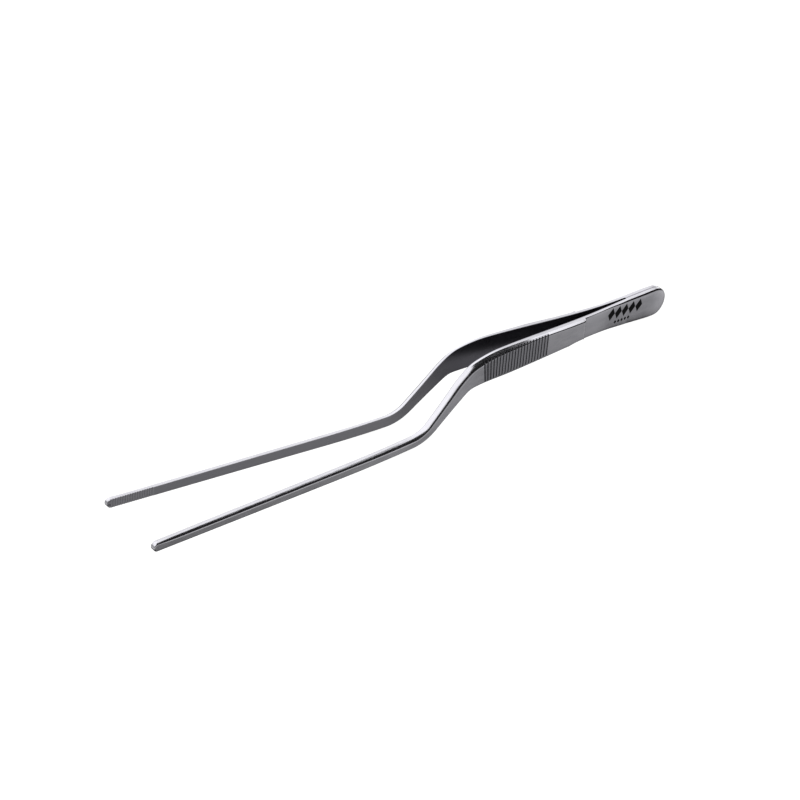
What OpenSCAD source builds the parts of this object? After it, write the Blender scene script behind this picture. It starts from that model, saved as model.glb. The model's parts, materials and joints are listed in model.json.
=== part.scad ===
// Cranked spring tongs for handling stamps and other flat, delicate things.
// Two mirrored stainless arms lie flat to flat and are welded together at the heel. Each arm is a
// solid heel, a thin sprung leaf, a thick ribbed grip, a crank that drops the working end clear of
// the hand, a slender shank and a tip with fine teeth on its inner face.
// Frame: heel towards +X, tips towards -X, near arm on -Y, far arm on +Y, +Z up. The tongs lie as
// they rest on a table, on the heel's lower edge and on both knees, with the tips in the air. The
// origin is the middle of that footprint, on the table.

/* [Overall] */
// Length along the handle's own axis, heel end to tips
overall_l = 300; // [290:1:320]
// Straight stretch from the heel end to the grip's droop
handle_l = 105.8; // [100:0.1:110]

/* [Crank] */
// Radius of the gentle droop of the grip's front end
droop_r = 83; // [70:1:120]
// Turn of the droop, downwards, in degrees
droop_turn = 8.3; // [6:0.1:10]
// Radius of the upper bend on the blade's middle line
upper_r = 22.6; // [20:0.1:26]
// Turn of the upper bend, downwards, in degrees
upper_turn = 32.8; // [30:0.1:36]
// Straight stretch between the two bends
crank_l = 20.8; // [16:0.1:24]
// Radius of the knee on the blade's middle line
knee_r = 19; // [16:0.1:24]
// Turn of the knee, back upwards, in degrees
knee_turn = 38.8; // [36:0.1:42]
// Length of the shank's gentle curve after the knee
sweep_l = 33.6; // [25:0.1:45]
// Turn of that curve, back upwards, in degrees
sweep_turn = 3; // [2:0.1:4]

/* [Blade width] */
// Width of the round heel
heel_w = 14.4; // [12:0.1:16]
// Narrowest width of the handle, at the sprung leaf
waist_w = 11.3; // [10:0.1:13]
// Widest part of the ribbed grip
grip_w = 13.9; // [12:0.1:15]
// Width in the middle of the upper bend
bend_w = 12.1; // [10:0.1:13]
// Width where the crank starts
crank_w = 8.9; // [8:0.1:10]
// Width in the knee
knee_w = 5.8; // [5:0.1:7]
// Width where the shank starts
shank_w = 5.3; // [4.5:0.1:7]
// Width at the tip
tip_w = 4.3; // [3.5:0.1:5]

/* [Blade thickness] */
// Thickness of one arm in the heel's flat
heel_t = 2.5; // [2:0.1:3]
// Thickness at the very end of the domed heel
nose_t = 1.6; // [1.2:0.1:2]
// Thickness of the sprung leaf
leaf_t = 1.9; // [1.4:0.1:2.2]
// Thickness of the ribbed grip
grip_t = 3.2; // [2.8:0.1:4]
// Thickness of the crank and the knee
crank_t = 3; // [2.4:0.1:3.4]
// Thickness at the tip
tip_t = 2.6; // [2:0.1:3]

/* [Spring and opening] */
// Length of the weld, from the heel end
weld_l = 24.6; // [20:0.1:28]
// How far each leaf's inner face is ground back where the weld ends
relief = 0.55; // [0.2:0.05:0.7]
// Distance of the step between leaf and grip from the heel end
step_at = 52.3; // [48:0.1:56]
// Slope of each arm away from the middle plane, just past the weld
splay = 0.067; // [0.06:0.0001:0.07]
// Inward bow of each arm, per millimetre of its length
bow = 0.000016; // [0.00001:0.000001:0.00002]

/* [Grip ribs] */
// Distance of the first groove's middle from the heel end
rib_from = 77; // [72:0.1:80]
// Distance from groove to groove
rib_pitch = 1.84; // [1.6:0.01:2]
// Number of grooves
rib_count = 22; // [12:1:22]
// Depth of a groove
rib_depth = 0.5; // [0.3:0.05:0.8]
// Width of a groove
rib_gap = 0.95; // [0.5:0.05:1.1]

/* [Tip teeth] */
// Distance from tooth to tooth
tooth_pitch = 1.2; // [0.8:0.05:1.6]
// Number of teeth on each tip
tooth_count = 19; // [10:1:24]
// Depth of the grooves between the teeth
tooth_depth = 0.2; // [0.15:0.05:0.4]

/* [Hidden] */

// Stations are distances along the blade's middle line, from the heel end. The line is a chain of
// stretches, [length, turn downwards over it], up to the shank.
function arc_l(r, turn) = r * turn * PI / 180;
stretches = [
    [handle_l, 0], [arc_l(droop_r, droop_turn), droop_turn], [arc_l(upper_r, upper_turn), upper_turn],
    [crank_l, 0], [arc_l(knee_r, knee_turn), -knee_turn], [sweep_l, -sweep_turn]
];
function sum(list, n, k) = n == 0 ? 0 : list[n - 1][k] + sum(list, n - 1, k);
function start_s(i) = sum(stretches, i, 0);
function start_dip(i) = sum(stretches, i, 1);
bend_from = start_s(1);
shank_from = start_s(len(stretches));
shank_dip = start_dip(len(stretches));

// [x, z] reached from a point after a length l, when the line dips by a and turns by t on the way
function advance(from, l, a, t) =
    t == 0 ? from - l * [cos(a), sin(a)] :
    from - l / t * 180 / PI * [sin(a + t) - sin(a), cos(a) - cos(a + t)];
function start_point(i) =
    i == 0 ? [0, 0] :
    advance(start_point(i - 1), stretches[i - 1][0], start_dip(i - 1), stretches[i - 1][1]);
shank_start = start_point(len(stretches));
tip_s = shank_from + (overall_l + shank_start[0]) / cos(shank_dip);

// The stretch that holds station s, and how far into it the station lies
function stretch(s, i = 0) = i == len(stretches) || s < start_s(i + 1) ? i : stretch(s, i + 1);
function turn_by(s, i) = i == len(stretches) ? 0 : (s - start_s(i)) / stretches[i][0] * stretches[i][1];

// How steeply the blade dips towards the tips at station s
function dip(s) = let (i = stretch(s)) start_dip(i) + turn_by(s, i);

// [x, z] of the middle line at station s
function middle(s) =
    let (i = stretch(s))
    advance(start_point(i), s - start_s(i), start_dip(i), turn_by(s, i));

// Point beside the middle line: up is along the blade's width
function beside(s, up) = middle(s) + up * [-sin(dip(s)), cos(dip(s))];

// Smooth curve through [station, value] keys
function slope(keys, i) =
    i == 0 ? 0 :
    i == len(keys) - 1 ? (keys[i][1] - keys[i - 1][1]) / (keys[i][0] - keys[i - 1][0]) :
    (keys[i + 1][1] - keys[i - 1][1]) / (keys[i + 1][0] - keys[i - 1][0]);
function span(keys, s, i = 0) = i == len(keys) - 2 || s < keys[i + 1][0] ? i : span(keys, s, i + 1);
function smooth(keys, s) =
    let (i = span(keys, s), l = keys[i + 1][0] - keys[i][0], q = (s - keys[i][0]) / l)
    (1 + 2 * q) * pow(1 - q, 2) * keys[i][1] + q * pow(1 - q, 2) * l * slope(keys, i)
    + q * q * (3 - 2 * q) * keys[i + 1][1] - q * q * (1 - q) * l * slope(keys, i + 1);

// Width of the blade at station s
heel_r = heel_w / 2;
tip_r = tip_w / 2;
heel_s = 10;
waist_s = 48;
grip_s = 102;
bend_s = 119.5;
crank_s = 128.5;
knee_s = 153;
shank_s = 172;
width_keys = [
    [heel_r, heel_w], [heel_s, heel_w], [waist_s, waist_w], [grip_s, grip_w], [bend_s, bend_w],
    [crank_s, crank_w], [knee_s, knee_w], [shank_s, shank_w], [tip_s, tip_w]
];
function width(s) = smooth(width_keys, s);

// Thickness of one arm at station s
dome_l = 14;
leaf_from = 38;
arm_keys = [[step_at, grip_t], [grip_s, grip_t], [crank_s, crank_t], [knee_s, crank_t], [tip_s, tip_t]];
function leaf_thick(s) = smooth([[weld_l, heel_t], [leaf_from, leaf_t], [step_at, leaf_t]], s);
function heel_thick(s) = heel_t - (heel_t - nose_t) * pow(max(0, 1 - s / dome_l), 2);
function arm_thick(s) = smooth(arm_keys, s);

// Distance of the inner face from the middle plane at station s
function inner(s) = let (q = max(0, s - weld_l)) splay * q - bow * q * q;

// Stations from one to just before another, at most step apart
function stations(from, to, step) =
    let (n = max(1, ceil((to - from) / step)))
    [for (i = [0 : n - 1]) from + (to - from) * i / n];
function reversed(list) = [for (i = [len(list) - 1 : -1 : 0]) list[i]];

// Steps that the curves are drawn in: coarse on the straights, fine in the bends
shank_step = 30;
handle_step = 10;
bend_step = 2.5;
tip_centre_s = tip_s - tip_r;
blade_stations = concat(
    [heel_r], stations(heel_s, bend_from, handle_step), stations(bend_from, shank_from, bend_step),
    stations(shank_from, tip_centre_s, shank_step), [tip_centre_s]
);

// Outline of the blade seen from the side, with its round heel and round tip
upper_edge = [for (s = blade_stations) beside(s, width(s) / 2)];
lower_edge = [for (s = blade_stations) beside(s, -width(s) / 2)];
module side_shape() {
    polygon(concat(upper_edge, reversed(lower_edge)));
    translate([-heel_r, 0]) circle(heel_r, $fn = 96);
    translate(middle(tip_centre_s)) circle(width(tip_centre_s) / 2, $fn = 48);
}

// The tongs rest on the round heel and on the knee: the tilt is that of the steepest line that
// touches the heel's circle from below and a point of the blade's lower edge past the bend.
rest_tilt = max([for (p = lower_edge) if (-p[0] > bend_from)
    let (away = [-p[0] - heel_r, p[1]]) -atan2(away[1], away[0]) - asin(heel_r / norm(away))]);
heel_end_x = heel_r * (1 - cos(rest_tilt));
tip_centre = middle(tip_centre_s);
tip_end_x = tip_centre[0] * cos(rest_tilt) + tip_centre[1] * sin(rest_tilt) - width(tip_centre_s) / 2;
middle_x = (heel_end_x + tip_end_x) / 2;
table_z = heel_r * sin(rest_tilt) - heel_r;

// From the handle's own frame to the frame of the tongs at rest
module at_rest() {
    translate([-middle_x, 0, -table_z]) rotate([0, rest_tilt, 0]) children();
}

// A stretch of one arm: the side outline, cut to the given outline seen from above
module blade(plan) {
    tall = 60;
    deep = 40;
    intersection() {
        rotate([90, 0, 0]) linear_extrude(2 * deep, center = true) side_shape();
        translate([0, 0, -tall]) linear_extrude(2 * tall) polygon(plan);
    }
}

function inner_line(list) = [for (s = list) [middle(s)[0], -inner(s)]];

// The heel: flat inside, domed at its end
heel_stations = concat(stations(0, dome_l, bend_step), [dome_l, weld_l]);
heel_plan = concat(
    inner_line([0, weld_l]),
    [for (s = reversed(heel_stations)) [-s, -heel_thick(s)]]
);

// The sprung leaf: thinned on its outer side
leaf_stations = concat(stations(weld_l, step_at, bend_step), [step_at]);
function ground_back(s) = relief * pow(1 - (s - weld_l) / (step_at - weld_l), 2);
leaf_plan = concat(
    [for (s = leaf_stations) [-s, -inner(s) - ground_back(s)]],
    [for (s = reversed(leaf_stations)) [-s, -inner(s) - leaf_thick(s)]]
);

// The ribbed grip, crank, shank and tip. The outer line carries the grooves of the grip, and the
// inner line the teeth of the tip.
function groove(s) =
    let (depth = rib_depth, half = rib_gap / 2, lip = 0.15)
    [[s - half, 0], [s - half + lip, depth], [s + half - lip, depth], [s + half, 0]];
rib_list = [for (i = [0 : rib_count - 1]) each groove(rib_from + i * rib_pitch)];
rib_to = rib_from + (rib_count - 1) * rib_pitch + rib_gap / 2;
outer_list = concat(
    [[step_at, 0], [(step_at + rib_from) / 2, 0]], rib_list,
    [for (s = stations(rib_to + 1, shank_from, bend_step)) [s, 0]],
    [for (s = stations(shank_from, tip_s, shank_step)) [s, 0]],
    [[tip_s + 1, 0]]
);
teeth_from = tip_s - tooth_count * tooth_pitch;
tooth_list = [for (i = [0 : tooth_count - 1]) each
    [[teeth_from + i * tooth_pitch, 0], [teeth_from + (i + 0.5) * tooth_pitch, tooth_depth]]];
inner_list = concat(
    [for (s = stations(step_at, bend_from, handle_step)) [s, 0]],
    [for (s = stations(bend_from, shank_from, bend_step)) [s, 0]],
    [for (s = stations(shank_from, teeth_from, shank_step)) [s, 0]],
    tooth_list, [[tip_s + 1, 0]]
);
arm_plan = concat(
    [for (p = inner_list) [middle(p[0])[0], -inner(p[0]) - p[1]]],
    [for (p = reversed(outer_list)) [middle(p[0])[0], -inner(p[0]) - arm_thick(p[0]) + p[1]]]
);

steel = [0.62, 0.63, 0.65];
bright_steel = [0.74, 0.75, 0.77];

module near_heel() {
    color(steel) at_rest() blade(heel_plan);
}

module far_heel() {
    color(steel) mirror([0, 1, 0]) at_rest() blade(heel_plan);
}

module near_spring() {
    color(bright_steel) at_rest() blade(leaf_plan);
}

module far_spring() {
    color(bright_steel) mirror([0, 1, 0]) at_rest() blade(leaf_plan);
}

module near_arm() {
    color(steel) at_rest() blade(arm_plan);
}

module far_arm() {
    color(steel) mirror([0, 1, 0]) at_rest() blade(arm_plan);
}

near_heel();
far_heel();
near_spring();
far_spring();
near_arm();
far_arm();
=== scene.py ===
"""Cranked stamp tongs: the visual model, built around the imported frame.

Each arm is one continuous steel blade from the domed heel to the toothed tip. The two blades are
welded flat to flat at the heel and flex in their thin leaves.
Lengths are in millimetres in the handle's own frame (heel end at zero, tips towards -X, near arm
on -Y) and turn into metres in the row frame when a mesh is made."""
import json
import math

import bmesh
import bpy
import numpy as np
from mathutils import Matrix, Vector


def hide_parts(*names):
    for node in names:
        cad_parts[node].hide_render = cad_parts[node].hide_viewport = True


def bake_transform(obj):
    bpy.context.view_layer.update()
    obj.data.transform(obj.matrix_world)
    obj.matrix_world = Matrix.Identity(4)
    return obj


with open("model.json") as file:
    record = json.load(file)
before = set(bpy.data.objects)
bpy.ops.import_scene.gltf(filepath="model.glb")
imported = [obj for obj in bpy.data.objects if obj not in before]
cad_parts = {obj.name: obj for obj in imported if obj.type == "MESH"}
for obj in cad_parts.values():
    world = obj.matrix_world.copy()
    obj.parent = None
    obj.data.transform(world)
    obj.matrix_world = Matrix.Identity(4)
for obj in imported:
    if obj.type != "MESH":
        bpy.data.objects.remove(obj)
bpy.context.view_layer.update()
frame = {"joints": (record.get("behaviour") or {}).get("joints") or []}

MM = 0.001

# --- Driving dimensions, as in the CAD model -------------------------------------------------
OVERALL_L = 300.0
HANDLE_L = 105.8
DROOP_R, DROOP_TURN = 83.0, math.radians(8.3)
UPPER_R, UPPER_TURN = 22.6, math.radians(32.8)
CRANK_L = 20.8
KNEE_R, KNEE_TURN = 19.0, math.radians(38.8)
SWEEP_L, SWEEP_TURN = 33.6, math.radians(3)
HEEL_W, WAIST_W, GRIP_W, BEND_W = 14.4, 11.3, 13.9, 12.1
CRANK_W, KNEE_W, SHANK_W, TIP_W = 8.9, 5.8, 5.3, 4.3
HEEL_AT, WAIST_AT, GRIP_AT, BEND_AT = 10.0, 48.0, 102.0, 119.5
CRANK_AT, KNEE_AT, SHANK_AT = 128.5, 153.0, 172.0
NOSE_T, HEEL_T, LEAF_T, GRIP_T, CRANK_T, TIP_T = 1.6, 2.5, 1.9, 3.2, 3.0, 2.6
DOME_L, WELD_L, RELIEF, LEAF_AT, STEP_AT = 14.0, 24.6, 0.55, 38.0, 52.3
SPLAY, BOW = 0.067, 0.000016
RIB_FROM, RIB_PITCH, RIB_COUNT, RIB_DEPTH, RIB_GAP = 77.0, 1.84, 22, 0.5, 0.95
TOOTH_PITCH, TOOTH_COUNT, TOOTH_DEPTH = 1.2, 19, 0.2
# Station of the hinge that stands in for the leaf's bending
FLEX_AT = 36.5

# --- Visual detail that the CAD model leaves out ---------------------------------------------
# Length of the rounding at the top of the step between leaf and grip
STEP_L = 1.1
STEP_TO = STEP_AT + STEP_L
# Length over which the grip's lower edge, flush with the leaf's at the step, fills out again
FLUSH_L = 14.0
# Stations, besides those above, where the edges change shape: on the leaf, along the grip, in the
# crank, round the knee and along the shank
LEAF_START, LEAF_SLIM = 30.0, 36.0
GRIP_FULL, RIBS_START, RIBS_EARLY, RIBS_END = 66.0, 80.0, 92.0, 116.0
CRANK_MIDDLE, KNEE_START, KNEE_END = 140.0, 150.0, 165.0
SHANK_THICK, SHANK_THIN, TIP_TAPER = 178.0, 205.0, 296.0
# Shares of a groove's width that its flat floor and each of its walls take
FLOOR_SHARE, WALL_SHARE = 0.2, 0.35
# Width of the blade's edge that the painted shade of the grooves leaves clean
CLEAN_EDGE = 0.5
# How dark the painted shade in the teeth's valleys is beside that in the grooves, and how deep below the
# inner face it goes
TOOTH_SHADE, TOOTH_REACH = 0.4, 0.6

# --- The blade's middle line -----------------------------------------------------------------
# A chain of stretches, (length, turn downwards over it), up to the shank
STRETCHES = [(HANDLE_L, 0), (DROOP_R * DROOP_TURN, DROOP_TURN), (UPPER_R * UPPER_TURN, UPPER_TURN),
             (CRANK_L, 0), (KNEE_R * KNEE_TURN, -KNEE_TURN), (SWEEP_L, -SWEEP_TURN)]
START_S = np.cumsum([0] + [length for length, _ in STRETCHES])
START_DIP = np.cumsum([0] + [turn for _, turn in STRETCHES])
BEND = np.array([turn / length for length, turn in STRETCHES] + [0])


def advance(length, slope, bend):
    """How far x and z move over a length that sets out at this slope and bends at this rate."""
    straight = np.abs(bend) < 1e-9
    rate = np.where(straight, 1, bend)
    to = slope + rate * length
    x = np.where(straight, length * np.cos(slope), (np.sin(to) - np.sin(slope)) / rate)
    z = np.where(straight, length * np.sin(slope), (np.cos(slope) - np.cos(to)) / rate)
    return -x, -z


MOVES = advance(np.diff(START_S), START_DIP[:-1], BEND[:-1])
START_X, START_Z = (np.cumsum(np.append(0, move)) for move in MOVES)
TIP_S = START_S[-1] + (OVERALL_L + START_X[-1]) / math.cos(START_DIP[-1])
TEETH_FROM = TIP_S - TOOTH_COUNT * TOOTH_PITCH
UPPER_FROM = float(START_S[2])
RIBS = (RIB_FROM, RIB_FROM + (RIB_COUNT - 1) * RIB_PITCH)


def stretch(s):
    return np.clip(np.searchsorted(START_S, s, side="right") - 1, 0, len(STRETCHES))


def dip(s):
    """How steeply the blade dips towards the tips, in radians, at stations s along it."""
    i = stretch(s)
    return START_DIP[i] + BEND[i] * (s - START_S[i])


def middle(s):
    """x and z of the blade's middle line at stations s."""
    i = stretch(s)
    x, z = advance(s - START_S[i], START_DIP[i], BEND[i])
    return START_X[i] + x, START_Z[i] + z


def smooth(keys, s):
    """A smooth curve through (station, value) keys, level at its first key."""
    x, y = np.array(keys, float).T
    slope = np.zeros(len(x))
    slope[1:-1] = (y[2:] - y[:-2]) / (x[2:] - x[:-2])
    slope[-1] = (y[-1] - y[-2]) / (x[-1] - x[-2])
    s = np.clip(s, x[0], x[-1])
    i = np.clip(np.searchsorted(x, s, side="right") - 1, 0, len(x) - 2)
    span = x[i + 1] - x[i]
    q = (s - x[i]) / span
    return ((1 + 2 * q) * (1 - q) ** 2 * y[i] + q * (1 - q) ** 2 * span * slope[i]
            + q * q * (3 - 2 * q) * y[i + 1] - q * q * (1 - q) * span * slope[i + 1])


def ease(q):
    q = np.clip(q, 0, 1)
    return q * q * (3 - 2 * q)


# --- Laws of width, thickness, spread and edge shape along the blade --------------------------
def half_width(s):
    keys = [(HEEL_W / 2, HEEL_W), (HEEL_AT, HEEL_W), (WAIST_AT, WAIST_W), (GRIP_AT, GRIP_W),
            (BEND_AT, BEND_W), (CRANK_AT, CRANK_W), (KNEE_AT, KNEE_W), (SHANK_AT, SHANK_W), (TIP_S, TIP_W)]
    return smooth(keys, s) / 2


def thickness(s):
    heel = HEEL_T - (HEEL_T - NOSE_T) * np.clip(1 - s / DOME_L, 0, None) ** 2
    leaf = smooth([(WELD_L, HEEL_T), (LEAF_AT, LEAF_T), (STEP_AT, LEAF_T)], s)
    arm = smooth([(STEP_AT, GRIP_T), (GRIP_AT, GRIP_T), (CRANK_AT, CRANK_T), (KNEE_AT, CRANK_T),
                  (TIP_S, TIP_T)], s)
    step = np.sqrt(1 - (1 - np.clip((s - STEP_AT) / STEP_L, 0, 1)) ** 2)
    return np.where(s < WELD_L, heel, leaf) * (1 - step) + arm * step


def spread(s):
    """Distance from the tongs' middle plane to the blade's inner face."""
    q = np.clip(s - WELD_L, 0, None)
    return SPLAY * q - BOW * q * q


def crown(s):
    """How much further out the outer face stands in its middle than at its edges."""
    return smooth([(0, 0.35), (WELD_L, 0.3), (STEP_AT, 0.15), (GRIP_AT, 0.08), (SHANK_AT, 0.02),
                   (TIP_S, 0.02)], s)


def relief(s):
    """How far the leaf's inner face is ground back from the end of the weld onwards."""
    return np.where(s < WELD_L, 0, RELIEF * np.clip(1 - (s - WELD_L) / (STEP_AT - WELD_L), 0, 1) ** 2)


def inner_round(s):
    """Radius of the inner edges: almost none in the weld, most on the crank."""
    return smooth([(WELD_L, 0.01), (WELD_L + 1, 0.07), (BEND_AT, 0.07), (CRANK_AT, 0.3),
                   (KNEE_START, 0.3), (KNEE_END, 0.1), (TIP_S, 0.07)], s)


def edge_drop(s, upper):
    """How far down the thickness the outer edge's bevel reaches. upper is 1 on the blade's upper
    edge, 0 on its lower edge and in between round its ends."""
    high = smooth([(0, 0.3), (WELD_L, 0.28), (LEAF_SLIM, 0.2), (STEP_AT, 0.25), (STEP_TO, 1.2),
                   (RIBS_START, 1.2), (GRIP_AT, 1.7), (CRANK_AT, 1.7), (KNEE_AT, 1.5),
                   (SHANK_THICK, 1.3), (SHANK_THIN, 1.0), (TIP_TAPER, 0.8), (TIP_S, 0.4)], s)
    low = smooth([(0, 0.2), (LEAF_START, 0.15), (STEP_AT, 0.12), (GRIP_FULL, 0.45), (GRIP_AT, 0.45),
                  (CRANK_AT, 0.6), (SHANK_THICK, 0.55), (SHANK_THIN, 0.35), (TIP_S, 0.35)], s)
    step_edge = (thickness(s) - LEAF_T) * (1 - ease((s - STEP_TO) / FLUSH_L))
    low = np.where(s < STEP_AT, low, np.maximum(low, step_edge))
    return low + (high - low) * upper


def edge_reach(s, upper):
    """How far across the width the outer edge's bevel reaches."""
    high = smooth([(0, 0.85), (WELD_L, 0.7), (LEAF_SLIM, 0.25), (STEP_AT, 0.25), (STEP_TO, 1.0),
                   (RIBS_START, 0.8), (RIBS_EARLY, 1.4), (GRIP_AT, 1.8), (RIBS_END, 1.9),
                   (CRANK_AT, 1.3), (CRANK_MIDDLE, 1.0), (KNEE_AT, 1.0), (SHANK_THICK, 1.1),
                   (SHANK_THIN, 0.85), (TIP_TAPER, 0.7), (TIP_S, 0.35)], s)
    low = smooth([(0, 0.35), (LEAF_START, 0.25), (STEP_AT, 0.2), (STEP_TO, 1.0), (GRIP_FULL, 0.4),
                  (GRIP_AT, 0.45), (CRANK_AT, 0.55), (SHANK_THICK, 0.55), (SHANK_THIN, 0.35),
                  (TIP_S, 0.35)], s)
    return low + (high - low) * upper


def edge_softness(s, upper):
    """How far the rounding between the bevel and the outer face reaches to each side."""
    high = smooth([(0, 0.25), (WELD_L, 0.25), (LEAF_SLIM, 0.15), (STEP_TO, 0.4), (GRIP_AT, 0.5),
                   (CRANK_AT, 1.65), (KNEE_AT, 1.4), (SHANK_THICK, 0.95), (SHANK_THIN, 0.8),
                   (TIP_TAPER, 0.8), (TIP_S, 0.4)], s)
    low = 0.15
    return low + (high - low) * upper


def groove(s):
    """1 in the floor of a grip groove, 0 on the ribs."""
    nearest = RIB_FROM + RIB_PITCH * np.clip(np.round((s - RIB_FROM) / RIB_PITCH), 0, RIB_COUNT - 1)
    return 1 - ease((np.abs(s - nearest) / RIB_GAP - FLOOR_SHARE) / WALL_SHARE)


def tooth_gap(s):
    """1 in the valley between two teeth of the tip, 0 on their crests: a wave cut flat at both ends."""
    turns = np.clip((s - TEETH_FROM) / TOOTH_PITCH, 0, TOOTH_COUNT)
    return np.clip(0.6 - 0.75 * np.cos(2 * math.pi * turns), 0, 1)


# --- Cross-section ----------------------------------------------------------------------------
def half_section(s, upper):
    """Half of the cross-section at each station, from the middle of the inner face, round the edge,
    to the middle of the outer face. Returns the distance in from the blade's outline and the
    distance out from its inner face, as arrays of stations by points."""
    s = np.atleast_1d(s).astype(float)[:, None]
    half, thick, inner = half_width(s), thickness(s), inner_round(s)
    drop, reach, soft = edge_drop(s, upper), edge_reach(s, upper), edge_softness(s, upper)
    # Where the points lie: shares of the way over a face, angles round the inner edge and shares of
    # the way up the wall
    flat = np.array([[0, 0.4, 0.75, 0.93, 1]])
    quarter = np.linspace(0, math.pi / 2, 4)[None, 1:]
    wall = np.array([[0.06, 0.5, 0.94]])
    # The edge: a straight bevel, then a curve with its corner where bevel and outer face would meet
    straight = np.linspace(0, 1, 5)[None, :]
    turn = np.linspace(0, 1, 6)[None, 1:]
    bevel_left = 1 - np.minimum(soft / np.hypot(reach, drop), 0.95)
    near_start, near_corner, near_end = (1 - turn) ** 2, 2 * turn * (1 - turn), turn ** 2
    curve_in = bevel_left * near_start + near_corner + (1 + soft / reach) * near_end
    curve_out = bevel_left * near_start + near_corner + near_end
    edge_in = reach * np.hstack([bevel_left * straight, curve_in])
    edge_out = drop * np.hstack([bevel_left * straight, curve_out])
    across = edge_in[:, -1:]
    inset = np.hstack([half + (inner - half) * flat, inner * (1 - np.sin(quarter)), 0 * (wall + s),
                       edge_in, across + (half - across) * (1 - flat[:, ::-1])[:, 1:]])
    depth = np.hstack([0 * (flat + s), inner * (1 - np.cos(quarter)), inner + (thick - drop - inner) * wall,
                       thick - drop + edge_out, thick + 0 * flat[:, 1:]])
    depth = depth + crown(s) * (0.5 - ((half - inset) / half) ** 2) * depth / thick
    depth = np.minimum(depth, thick - RIB_DEPTH * groove(s))
    depth = np.maximum(depth, np.maximum(TOOTH_DEPTH * tooth_gap(s), relief(s)))
    return inset, depth


def blade_stations():
    """Stations along the blade's straight sides, close together where the shape changes fast."""
    start, end = HEEL_W / 2, TIP_S - TIP_W / 2
    # Across a groove the stations gather on its walls, in shares of its width
    rib_edges = RIB_GAP * np.array([-0.55, -0.45, -0.34, -0.2, 0, 0.2, 0.34, 0.45, 0.55])
    ribs = (RIB_FROM + RIB_PITCH * np.arange(RIB_COUNT)[:, None] + rib_edges).ravel()
    rise = STEP_L * (1 - np.cos(np.linspace(0, math.pi / 2, 9)))
    steps = [np.linspace(start, WELD_L - 0.05, 14), np.linspace(WELD_L, STEP_AT - 0.05, 22),
             STEP_AT + rise, np.linspace(STEP_TO + 0.5, RIB_FROM - 1, 14), ribs,
             np.linspace(ribs[-1] + 0.6, START_S[-1], 80), np.linspace(START_S[-1] + 2, TEETH_FROM - 1, 24),
             np.arange(TEETH_FROM, end, TOOTH_PITCH / 8), [end]]
    return np.concatenate(steps)


def straight_half(stations, side):
    """Half-sections at these stations, on the blade's upper edge (side 1) or lower edge (side -1).
    Each point is x, distance out from the inner face's line, z, station and height across the width."""
    inset, depth = half_section(stations, (1 + side) / 2)
    up = side * (half_width(stations)[:, None] - inset)
    x, z = (v[:, None] for v in middle(stations))
    turn = dip(stations)[:, None]
    s = stations[:, None] + 0 * up
    return np.stack([x - up * np.sin(turn), depth, z + up * np.cos(turn), s, up], -1)


def round_end(at, outward, turns):
    """Half-sections fanned round the blade's end. at is the station of the fan's centre, outward is
    1 at the tip and -1 at the heel, and turns are angles above the blade's middle line."""
    (x,), (z,) = middle(np.array([at]))
    lean = dip(np.array([at]))[0]
    fan = []
    for turn in turns:
        upper = (1 + math.sin(turn)) / 2
        radius = half_width(at) - half_section(at, upper)[0][0]
        along, up = outward * radius * math.cos(turn), radius * math.sin(turn)
        depth = np.diagonal(half_section(at + along, upper)[1])
        fan.append(np.stack([x - along * math.cos(lean) - up * math.sin(lean), depth,
                             z - along * math.sin(lean) + up * math.cos(lean), at + along, up], -1))
    return np.array(fan)


def handle_to_row():
    """The transform from the handle's own frame, in millimetres, to the row frame, in metres. The
    near joint's axis gives the tilt at which the tongs rest, and its place gives the rest."""
    joint = next(j for j in frame["joints"] if j["name"] == "near_flex")
    axis, place = joint["axis"], Vector(joint["pos_m"])
    tilt = Matrix.Rotation(math.atan2(axis[0], axis[2]) + math.pi, 4, "Y")
    turned = tilt @ Matrix.Scale(MM, 4)
    at_handle = Vector((-FLEX_AT, place.y / MM, 0))
    return Matrix.Translation(place - turned @ at_handle) @ turned


TO_ROW = handle_to_row()


def row(x, y, z):
    """A point of the handle's own frame, in the row frame."""
    return TO_ROW @ Vector((x, y, z))


# Angles of the half-sections round a blade's end
FAN = np.linspace(math.pi / 2, -math.pi / 2, 25)[1:-1]
# Edges sharper than this stay sharp, and points closer than this, in metres, become one
SMOOTH_ANGLE = math.radians(32)
WELD_DISTANCE = 2e-6


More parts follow.
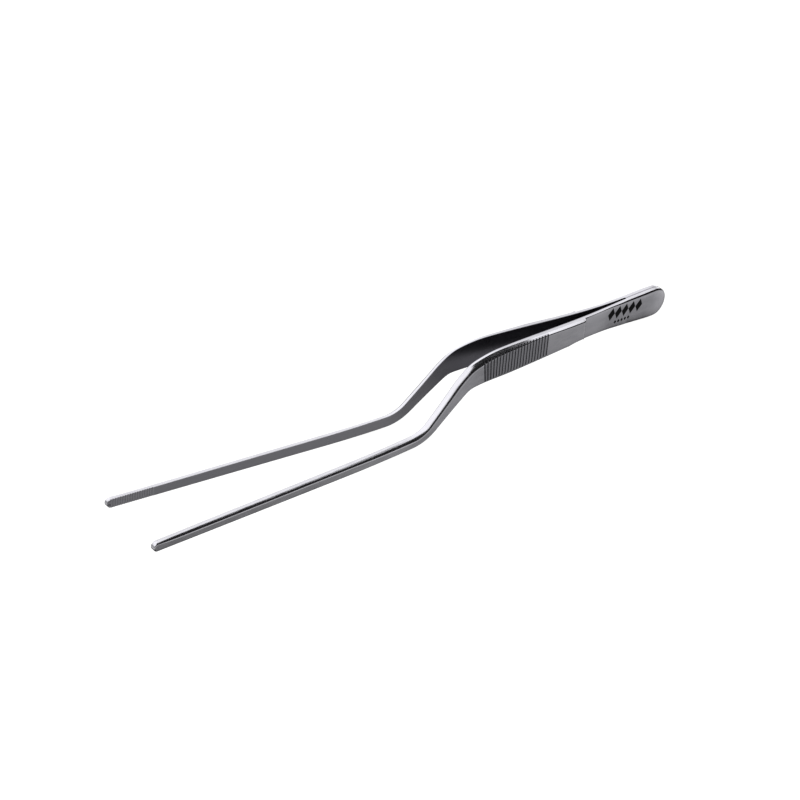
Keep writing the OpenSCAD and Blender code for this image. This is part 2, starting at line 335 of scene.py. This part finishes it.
def blade(name, side, material):
    """One whole arm. side is -1 for the near arm and 1 for the far one."""
    stations = blade_stations()
    rings = np.concatenate([straight_half(stations, 1), round_end(stations[-1], 1, FAN),
                            straight_half(stations[::-1], -1), round_end(stations[0], -1, -FAN)])
    count, points = rings.shape[:2]
    x, depth, z, s, up = np.moveaxis(rings, -1, 0)
    y = side * (spread(s) + depth)
    place = np.stack([x, y, z], -1).reshape(-1, 3)
    turned = np.array(TO_ROW)
    coords = place @ turned[:3, :3].T + turned[:3, 3]
    i, j = np.meshgrid(np.arange(count), np.arange(points - 1), indexing="ij")
    after = (i + 1) % count
    quads = np.stack([i * points + j, i * points + j + 1, after * points + j + 1, after * points + j], -1)
    mesh = bpy.data.meshes.new(name)
    mesh.from_pydata(coords.tolist(), [], quads.reshape(-1, 4).tolist())
    grain = mesh.attributes.new("blade", "FLOAT_VECTOR", "POINT")
    grain.data.foreach_set("vector", np.stack([s, up, depth], -1).astype(np.float32).ravel())
    # The recess attribute holds painted shade: darkening in the grip's grooves and, fainter, in the teeth's
    # valleys on the inner face
    groove_shade = mesh.attributes.new("groove_shade", "FLOAT", "POINT")
    outer = depth > thickness(s) / 2
    painted_rib_groove_shade = groove(s) * (half_width(s) - np.abs(up) > CLEAN_EDGE)
    painted_tooth_shade = TOOTH_SHADE * tooth_gap(s) * (depth < TOOTH_REACH)
    cut = np.where(outer, painted_rib_groove_shade, painted_tooth_shade)
    groove_shade.data.foreach_set("value", cut.astype(np.float32).ravel())
    bm = bmesh.new()
    bm.from_mesh(mesh)
    bmesh.ops.remove_doubles(bm, verts=bm.verts, dist=WELD_DISTANCE)
    bmesh.ops.dissolve_degenerate(bm, edges=bm.edges, dist=WELD_DISTANCE)
    bmesh.ops.recalc_face_normals(bm, faces=bm.faces)
    bm.to_mesh(mesh)
    bm.free()
    mesh.shade_smooth()
    mesh.set_sharp_from_angle(angle=SMOOTH_ANGLE)
    mesh.materials.append(material)
    obj = bpy.data.objects.new(name, mesh)
    bpy.context.scene.collection.objects.link(obj)
    return obj


# --- Materials --------------------------------------------------------------------------------
class Nodes:
    """A short way to write a node tree: every call adds one node and returns its output."""

    def __init__(self, tree):
        self.tree = tree
        tree.nodes.clear()

    def add(self, kind, inputs=(), **settings):
        node = self.tree.nodes.new(kind)
        for key, value in settings.items():
            setattr(node, key, value)
        for key, value in dict(inputs).items():
            if isinstance(value, bpy.types.NodeSocket):
                self.tree.links.new(value, node.inputs[key])
            else:
                node.inputs[key].default_value = value
        return node

    def math(self, operation, *values):
        return self.add("ShaderNodeMath", enumerate(values), operation=operation).outputs[0]

    def vector(self, operation, *values):
        node = self.add("ShaderNodeVectorMath", enumerate(values), operation=operation)
        return node.outputs["Value" if operation == "DOT_PRODUCT" else "Vector"]

    def ramp(self, value, low, high, to_low=0.0, to_high=1.0):
        settings = {"Value": value, "From Min": low, "From Max": high, "To Min": to_low, "To Max": to_high}
        return self.add("ShaderNodeMapRange", settings, interpolation_type="SMOOTHSTEP").outputs[0]

    def noise(self, vector, scale, detail=3.0):
        settings = {"Vector": vector, "Scale": scale, "Detail": detail}
        return self.add("ShaderNodeTexNoise", settings).outputs["Fac"]

    def mix(self, share, first, second):
        node = self.add("ShaderNodeMix", data_type="RGBA")
        for key, value in ((0, share), (6, first), (7, second)):
            if isinstance(value, bpy.types.NodeSocket):
                self.tree.links.new(value, node.inputs[key])
            else:
                node.inputs[key].default_value = value
        return node.outputs[2]


def grey(value):
    return (value, value, value, 1.0)


SATIN_DARK, SATIN_LIGHT = (0.48, 0.475, 0.51, 1.0), (0.56, 0.555, 0.59, 1.0)
# Painted shade for the ribbed face; the lighter steel beside it is a painted reflection on the shank's
# outer face
RIB_SHADE_STEEL, SHANK_SHEEN_STEEL = (0.2, 0.2, 0.22, 1.0), (0.78, 0.775, 0.82, 1.0)
# Painted shade for the inner faces: darkest between the grips, where the blades shade each other, lighter
# towards the shank
INNER_GRIP_SHADE, INNER_SHANK_SHADE = (0.2, 0.195, 0.22, 1.0), (0.44, 0.435, 0.47, 1.0)
# Painted shade for the grooves and the teeth's valleys, beside the black of the mark's print
GROOVE_SHADE, MARK_BLACK = (0.03, 0.03, 0.032, 1.0), (0.012, 0.012, 0.013, 1.0)


def lozenge_mark(n, station, up, depth):
    """Mask of a generic mark on the heel: a row of large lozenges over a row of small ones."""

    def lozenges(middle_s, middle_up, pitch, count, half_l, half_h, slant):
        span = pitch * count / 2
        off = n.math("SUBTRACT", station, middle_s - span)
        cell = n.math("SUBTRACT", n.math("FLOORED_MODULO", off, pitch), pitch / 2)
        off_up = n.math("SUBTRACT", up, middle_up)
        lean = n.math("ADD", cell, n.math("MULTIPLY", off_up, slant))
        reach = n.math("ADD", n.math("DIVIDE", n.math("ABSOLUTE", lean), half_l),
                       n.math("DIVIDE", n.math("ABSOLUTE", off_up), half_h))
        from_middle = n.math("ABSOLUTE", n.math("SUBTRACT", station, middle_s))
        inside = n.ramp(from_middle, span, span - 0.05)
        return n.math("MULTIPLY", n.ramp(reach, 1.04, 0.96), inside)

    big = lozenges(middle_s=26.4, middle_up=1.9, pitch=4.3, count=5, half_l=2.1, half_h=3.3, slant=0.25)
    small = lozenges(middle_s=28.0, middle_up=-3.0, pitch=2.1, count=5, half_l=0.85, half_h=1.0, slant=0)
    return n.math("MULTIPLY", n.math("MAXIMUM", big, small), n.math("GREATER_THAN", depth, 1.0))


def satin_steel(name, marked):
    """Satin stainless steel: fine grinding lines along the blade, cloudy gloss and hairline scratches, with
    painted shade in the grooves, the teeth's valleys and on the ribbed face, and a painted reflection on
    the shank's outer face. The inner faces are rougher and carry painted shade, darkest between the grips."""
    material = bpy.data.materials.new(name)
    material.use_nodes = True
    n = Nodes(material.node_tree)
    place = n.add("ShaderNodeAttribute", attribute_name="blade").outputs["Vector"]
    parts = n.add("ShaderNodeSeparateXYZ", {0: place})
    station, up, depth = parts.outputs[0], parts.outputs[1], parts.outputs[2]
    # Noise that is drawn out along the blade: fine grain, sparse hairlines and soft clouds
    grain = n.noise(n.vector("MULTIPLY", place, (0.12, 6.0, 6.0)), 1.6, 4.0)
    hairlines = n.noise(n.vector("MULTIPLY", place, (0.05, 2.2, 2.2)), 2.4, 2.0)
    scratches = n.ramp(hairlines, 0.66, 0.72)
    clouds = n.noise(n.vector("MULTIPLY", place, (0.25, 0.6, 0.6)), 0.6, 3.0)
    # Masks: painted shade in the grooves and teeth, on the inner face and on the ribbed outer face, and a
    # painted reflection on the shank's outer face
    groove_shade = n.add("ShaderNodeAttribute", attribute_name="groove_shade").outputs["Fac"]
    inner = n.ramp(depth, 0.5, 0.05)
    in_ribs = n.math("MULTIPLY", n.ramp(station, RIBS[0] - 0.6, RIBS[0] - 0.4),
                     n.ramp(station, RIBS[1] + 0.6, RIBS[1] + 0.4))
    ribbed = n.math("MULTIPLY", in_ribs, n.ramp(depth, 2.2, 2.6))
    shank = n.math("MULTIPLY", n.ramp(station, KNEE_AT, SHANK_AT), n.ramp(up, 1.6, 1.2))
    tone = n.math("ADD", n.math("MULTIPLY", grain, 0.4), n.math("MULTIPLY", clouds, 0.6))
    colour = n.mix(n.ramp(tone, 0.3, 0.7), SATIN_DARK, SATIN_LIGHT)
    # Painted reflection: a lighter copy of the steel on the shank's outer face makes it brighter than the
    # rest of the blade
    colour = n.mix(shank, colour, SHANK_SHEEN_STEEL)
    # Painted shade on the inner faces, deepest between the grips and easing off towards the knee
    colour = n.mix(inner, colour, n.mix(n.ramp(station, UPPER_FROM, KNEE_AT), INNER_GRIP_SHADE, INNER_SHANK_SHADE))
    # Painted shade on the ribbed outer face, making the ribs darker than the plain face
    colour = n.mix(n.math("MULTIPLY", ribbed, 0.55), colour, RIB_SHADE_STEEL)
    # Painted shade in the grooves and the teeth's valleys
    colour = n.mix(n.math("MULTIPLY", groove_shade, 0.85), colour, GROOVE_SHADE)
    rough = n.math("ADD", n.ramp(clouds, 0.3, 0.7, 0.13, 0.19), n.math("MULTIPLY", grain, 0.05))
    rough = n.math("ADD", rough, n.math("MULTIPLY", scratches, 0.06))
    rough = n.math("ADD", rough, n.math("MULTIPLY", inner, 0.12))
    rough = n.math("ADD", rough, n.math("MULTIPLY", groove_shade, 0.12))
    texture = n.math("ADD", n.math("MULTIPLY", grain, 0.6), n.math("MULTIPLY", scratches, -0.4))
    if marked:
        mark = lozenge_mark(n, station, up, depth)
        colour = n.mix(mark, colour, MARK_BLACK)
        rough = n.math("ADD", rough, n.math("MULTIPLY", mark, 0.25))
        texture = n.math("SUBTRACT", texture, n.math("MULTIPLY", mark, 0.8))
    bump = n.add("ShaderNodeBump", {"Height": texture, "Strength": 0.2, "Distance": 4e-6})
    shader = n.add("ShaderNodeBsdfPrincipled", {"Base Color": colour, "Roughness": rough, "Metallic": 1.0,
                                                "Normal": bump.outputs[0]})
    n.add("ShaderNodeOutputMaterial", {"Surface": shader.outputs[0]})
    return material


def white_floor():
    """A plain white table top that glows a little, as a lit product table does."""
    material = bpy.data.materials.new("white_floor")
    material.use_nodes = True
    n = Nodes(material.node_tree)
    place = n.add("ShaderNodeTexCoord").outputs["Object"]
    tone = n.mix(n.noise(place, 3.0), grey(0.10), grey(0.14))
    shader = n.add("ShaderNodeBsdfPrincipled", {"Base Color": tone, "Roughness": 0.8,
                                                "Emission Color": grey(1.0), "Emission Strength": 0.96})
    n.add("ShaderNodeOutputMaterial", {"Surface": shader.outputs[0]})
    return material


# --- Pieces -----------------------------------------------------------------------------------
def arm(side_name, side, marked):
    piece = blade(side_name + "_blade", side, satin_steel(side_name + "_satin_steel", marked))
    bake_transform(piece)
    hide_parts(side_name + "_heel", side_name + "_spring", side_name + "_arm")
    return piece


arm("near", -1, True)
arm("far", 1, False)


# --- Stage ------------------------------------------------------------------------------------
def floor():
    size = 4.0
    mesh = bpy.data.meshes.new("floor")
    bm = bmesh.new()
    bmesh.ops.create_circle(bm, cap_ends=True, segments=96, radius=size)
    bm.to_mesh(mesh)
    bm.free()
    obj = bpy.data.objects.new("floor", mesh)
    bpy.context.scene.collection.objects.link(obj)
    mesh.materials.append(white_floor())
    obj.visible_glossy = False


def backdrop():
    """A white dome that only the camera sees, so that low views end in white too."""
    mesh = bpy.data.meshes.new("backdrop")
    bm = bmesh.new()
    bmesh.ops.create_icosphere(bm, subdivisions=4, radius=6.0)
    bm.to_mesh(mesh)
    bm.free()
    obj = bpy.data.objects.new("backdrop", mesh)
    bpy.context.scene.collection.objects.link(obj)
    material = bpy.data.materials.new("white_backdrop")
    material.use_nodes = True
    n = Nodes(material.node_tree)
    glow = n.add("ShaderNodeEmission", {"Color": grey(1.0), "Strength": 1.03})
    n.add("ShaderNodeOutputMaterial", {"Surface": glow.outputs[0]})
    mesh.materials.append(material)
    obj.visible_glossy = False
    obj.visible_diffuse = False
    obj.visible_shadow = False


def direction(azimuth, elevation):
    """Unit vector at this compass angle from +X towards +Y and this height above the horizon."""
    a, e = math.radians(azimuth), math.radians(elevation)
    return (math.cos(a) * math.cos(e), math.sin(a) * math.cos(e), math.sin(e))


def studio():
    """Soft studio light, all from the world: a big bright tent overhead and behind whose front rim
    draws the blades' edge lines, a low reflector all round, and grey walls but for a dark front."""
    world = bpy.data.worlds.new("studio")
    world.use_nodes = True
    bpy.context.scene.world = world
    n = Nodes(world.node_tree)
    look = n.add("ShaderNodeTexCoord").outputs["Generated"]
    height = n.add("ShaderNodeSeparateXYZ", {0: look}).outputs[2]

    def level(elevation):
        return math.sin(math.radians(elevation))

    def band(start, end, first=0.0, last=1.0):
        """A value that eases from first to last between two heights above the horizon, in degrees."""
        return n.ramp(height, level(start), level(end), first, last)

    def disc(azimuth, elevation, radius, soft, strength=1.0):
        """A round patch: its radius and the half width of its soft rim are in degrees."""
        facing = n.vector("DOT_PRODUCT", look, direction(azimuth, elevation))
        outside, inside = (math.cos(math.radians(radius + rim)) for rim in (soft, -soft))
        return n.ramp(facing, outside, inside, 0, strength)

    def without(light, patch):
        return n.math("MULTIPLY", light, n.math("SUBTRACT", 1.0, patch))

    # Flags darken the bevel beside the ribs and the heel's edge, the dark front gives the black edge
    # lines, and cards light the heel's end and dome
    ribs_flag = disc(-57, 25, 26, 3)
    heel_flag = disc(55, -37, 35, 10, 0.85)
    dark_front = disc(-50, 0, 64, 12)
    heel_end_card = disc(43, -3, 15, 6, 1.1)
    dome_card = disc(-28, -39, 9, 7, 0.3)
    tent = without(n.math("MULTIPLY", band(14, 24), band(25, 38, 1.3, 1.75)), ribs_flag)
    low = without(n.math("MULTIPLY", band(-15, -23, 0, 0.6), band(-47, -27)), heel_flag)
    walls = without(n.math("MULTIPLY", band(-23, -15), band(24, 14, 0, 0.35)), dark_front)
    light = 0.02
    for part in (tent, low, walls, heel_end_card, dome_card):
        light = n.math("ADD", light, part)
    background = n.add("ShaderNodeBackground", {"Color": grey(1.0), "Strength": light})
    n.add("ShaderNodeOutputWorld", {"Surface": background.outputs[0]})


def camera():
    """The photograph's viewpoint, measured against the handle: from the near side and the tips'
    side, well above the table."""
    right_azimuth, elevation, roll = -38.79, 32.84, math.radians(-4.406)
    distance, focal = 1.25, 123.8
    # The point of the tongs that the middle of the picture shows
    aim = row(-153.58, 4.016, -10.626)
    turn = TO_ROW.to_3x3().normalized()
    right = turn @ Vector(direction(right_azimuth, 0))
    back = turn @ Vector(direction(right_azimuth - 90, elevation))
    level = Matrix((right, back.cross(right), back)).transposed().to_4x4()
    data = bpy.data.cameras.new("camera")
    data.lens, data.sensor_width = focal, 36.0
    data.clip_start, data.clip_end = 0.01, 50.0
    obj = bpy.data.objects.new("camera", data)
    bpy.context.scene.collection.objects.link(obj)
    obj.matrix_world = Matrix.Translation(aim + back * distance) @ level @ Matrix.Rotation(-roll, 4, "Z")
    bpy.context.scene.camera = obj


floor()
backdrop()
studio()
camera()
bpy.context.scene.view_settings.view_transform = "Standard"
